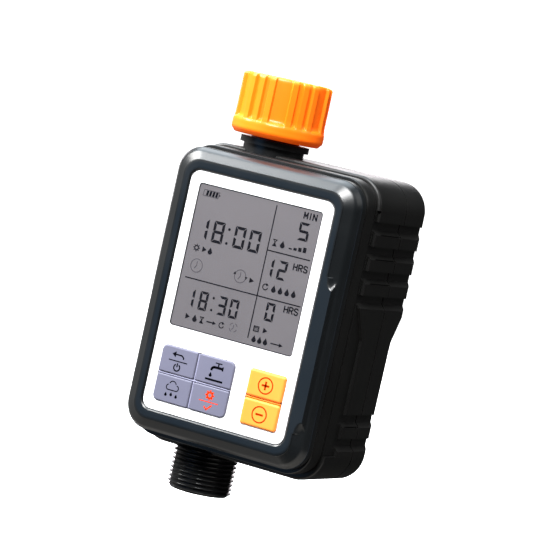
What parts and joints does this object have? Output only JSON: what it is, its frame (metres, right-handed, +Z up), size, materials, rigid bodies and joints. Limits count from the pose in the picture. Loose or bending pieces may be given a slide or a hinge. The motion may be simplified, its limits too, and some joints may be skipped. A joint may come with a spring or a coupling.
{
  "type": "drip irrigation timer",
  "caption": "Battery water timer for a garden tap: a display unit with keys that pulls off a case with a motor-driven ball valve, a ribbed tap nut above and a threaded hose outlet below.",
  "frame": {"origin": "on the water axis, at the first thread inside the tap nut's mouth", "axes": "+Z up out of the tap nut's mouth, along the water axis; +Y from the face to the back; +X to the right seen from the front"},
  "size_m": [0.085, 0.064, 0.1705],
  "materials": {
    "bezel_plastic": "satin moulded plastic, dark blue grey",
    "case_plastic": "fine textured black plastic",
    "face_white": "smooth white plastic",
    "window_clear": "clear polished plastic",
    "lcd_grey": "grey display glass",
    "inner_white": "white moulded plastic",
    "key_grey": "soft lavender grey key",
    "key_orange": "soft orange yellow key",
    "web_rubber": "silicone rubber",
    "board_green": "green solder mask",
    "chip_black": "moulded black epoxy",
    "switch_metal": "stamped steel",
    "contact_brass": "plated brass",
    "inner_black": "black moulded plastic",
    "seal_rubber": "black rubber",
    "screw_steel": "zinc plated steel",
    "cell_jacket": "printed sleeve over a steel can",
    "spring_nickel": "nickel plated spring steel",
    "fitting_black": "satin black moulded plastic",
    "nut_orange": "smooth orange moulded plastic",
    "filter_mesh": "fine woven mesh, white",
    "seat_white": "white low friction plastic",
    "ball_brass": "machined brass",
    "gear_acetal": "natural acetal",
    "gearbox_plastic": "grey moulded plastic",
    "motor_steel": "drawn steel can",
    "lead_red": "soft wire insulation"
  },
  "bodies": {
    "valve_body": {"mid_case": "case_plastic", "rear_cover": "case_plastic", "case_seal": "seal_rubber", "case_screws": "screw_steel", "inlet_neck": "fitting_black", "neck_collar": "fitting_black", "tap_washer": "seal_rubber", "inlet_filter": "filter_mesh", "valve_chamber": "fitting_black", "chamber_o_ring": "seal_rubber", "chamber_screws": "screw_steel", "upper_ball_seat": "seat_white", "lower_ball_seat": "seat_white", "stem_o_rings": "seal_rubber", "gear_axles": "screw_steel", "gearbox_base": "gearbox_plastic", "gearbox_cover": "gearbox_plastic", "gearbox_screws": "screw_steel", "drive_motor": "motor_steel", "motor_leads": "lead_red", "contact_block": "inner_black", "contact_pins": "contact_brass"},
    "tap_nut": {"tap_nut": "nut_orange"},
    "control_unit": {"front_bezel": "bezel_plastic", "face_panel": "face_white", "display_window": "window_clear", "lcd_glass": "lcd_grey", "lcd_frame": "inner_white", "backlight_sheet": "inner_white", "grey_key_web": "web_rubber", "orange_key_web": "web_rubber", "circuit_board": "board_green", "key_switches": "switch_metal", "controller_chip": "chip_black", "contact_pads": "contact_brass", "unit_back_cover": "inner_black", "unit_seal": "seal_rubber", "unit_screws": "screw_steel", "battery_left": "cell_jacket", "battery_right": "cell_jacket", "battery_springs": "spring_nickel", "battery_contacts": "spring_nickel"},
    "off_key": {"off_key": "key_grey"},
    "manual_key": {"manual_key": "key_grey"},
    "rain_key": {"rain_key": "key_grey"},
    "set_key": {"set_key": "key_grey"},
    "plus_key": {"plus_key": "key_orange"},
    "minus_key": {"minus_key": "key_orange"},
    "ball_and_output_gear": {"valve_ball": "ball_brass", "valve_stem": "ball_brass", "output_gear": "gear_acetal"},
    "second_gear": {"second_gear": "gear_acetal"},
    "first_gear": {"first_gear": "gear_acetal"},
    "motor_pinion": {"motor_pinion": "ball_brass", "motor_shaft": "screw_steel"}
  },
  "joints": [
    {"name": "tap_nut_turn", "type": "hinge", "parent": "valve_body", "child": "tap_nut", "pos_m": [0, 0, -0.01], "axis": [0, 0, 1], "continuous": true},
    {"name": "control_unit_pull", "type": "slide", "parent": "valve_body", "child": "control_unit", "axis": [0, -1, 0], "range_m": [0, 0.03]},
    {"name": "ball_turn", "type": "hinge", "parent": "valve_body", "child": "ball_and_output_gear", "pos_m": [0, 0, -0.0662], "axis": [1, 0, 0], "range_deg": [0, 90]},
    {"name": "second_gear_spin", "type": "hinge", "parent": "valve_body", "child": "second_gear", "pos_m": [0, 0.01494, -0.07873], "axis": [1, 0, 0], "range_deg": [-300.1, 0]},
    {"name": "first_gear_spin", "type": "hinge", "parent": "valve_body", "child": "first_gear", "pos_m": [0, 0.01765, -0.06337], "axis": [1, 0, 0], "range_deg": [0, 1000.1]},
    {"name": "motor_spin", "type": "hinge", "parent": "valve_body", "child": "motor_pinion", "pos_m": [0, 0.01982, -0.05106], "axis": [1, 0, 0], "range_deg": [-4000.2, 0]},
    {"name": "off_key_press", "type": "slide", "parent": "control_unit", "child": "off_key", "axis": [0, 1, 0], "range_m": [0, 0.0008], "stiffness_N_per_m": 500},
    {"name": "manual_key_press", "type": "slide", "parent": "control_unit", "child": "manual_key", "axis": [0, 1, 0], "range_m": [0, 0.0008], "stiffness_N_per_m": 500},
    {"name": "rain_key_press", "type": "slide", "parent": "control_unit", "child": "rain_key", "axis": [0, 1, 0], "range_m": [0, 0.0008], "stiffness_N_per_m": 500},
    {"name": "set_key_press", "type": "slide", "parent": "control_unit", "child": "set_key", "axis": [0, 1, 0], "range_m": [0, 0.0008], "stiffness_N_per_m": 500},
    {"name": "plus_key_press", "type": "slide", "parent": "control_unit", "child": "plus_key", "axis": [0, 1, 0], "range_m": [0, 0.0008], "stiffness_N_per_m": 500},
    {"name": "minus_key_press", "type": "slide", "parent": "control_unit", "child": "minus_key", "axis": [0, 1, 0], "range_m": [0, 0.0008], "stiffness_N_per_m": 500}
  ],
  "couplings": [
    {"joint": "second_gear_spin", "follows": "ball_turn", "ratio": -3.3333},
    {"joint": "first_gear_spin", "follows": "ball_turn", "ratio": 11.111},
    {"joint": "motor_spin", "follows": "ball_turn", "ratio": -44.444}
  ]
}
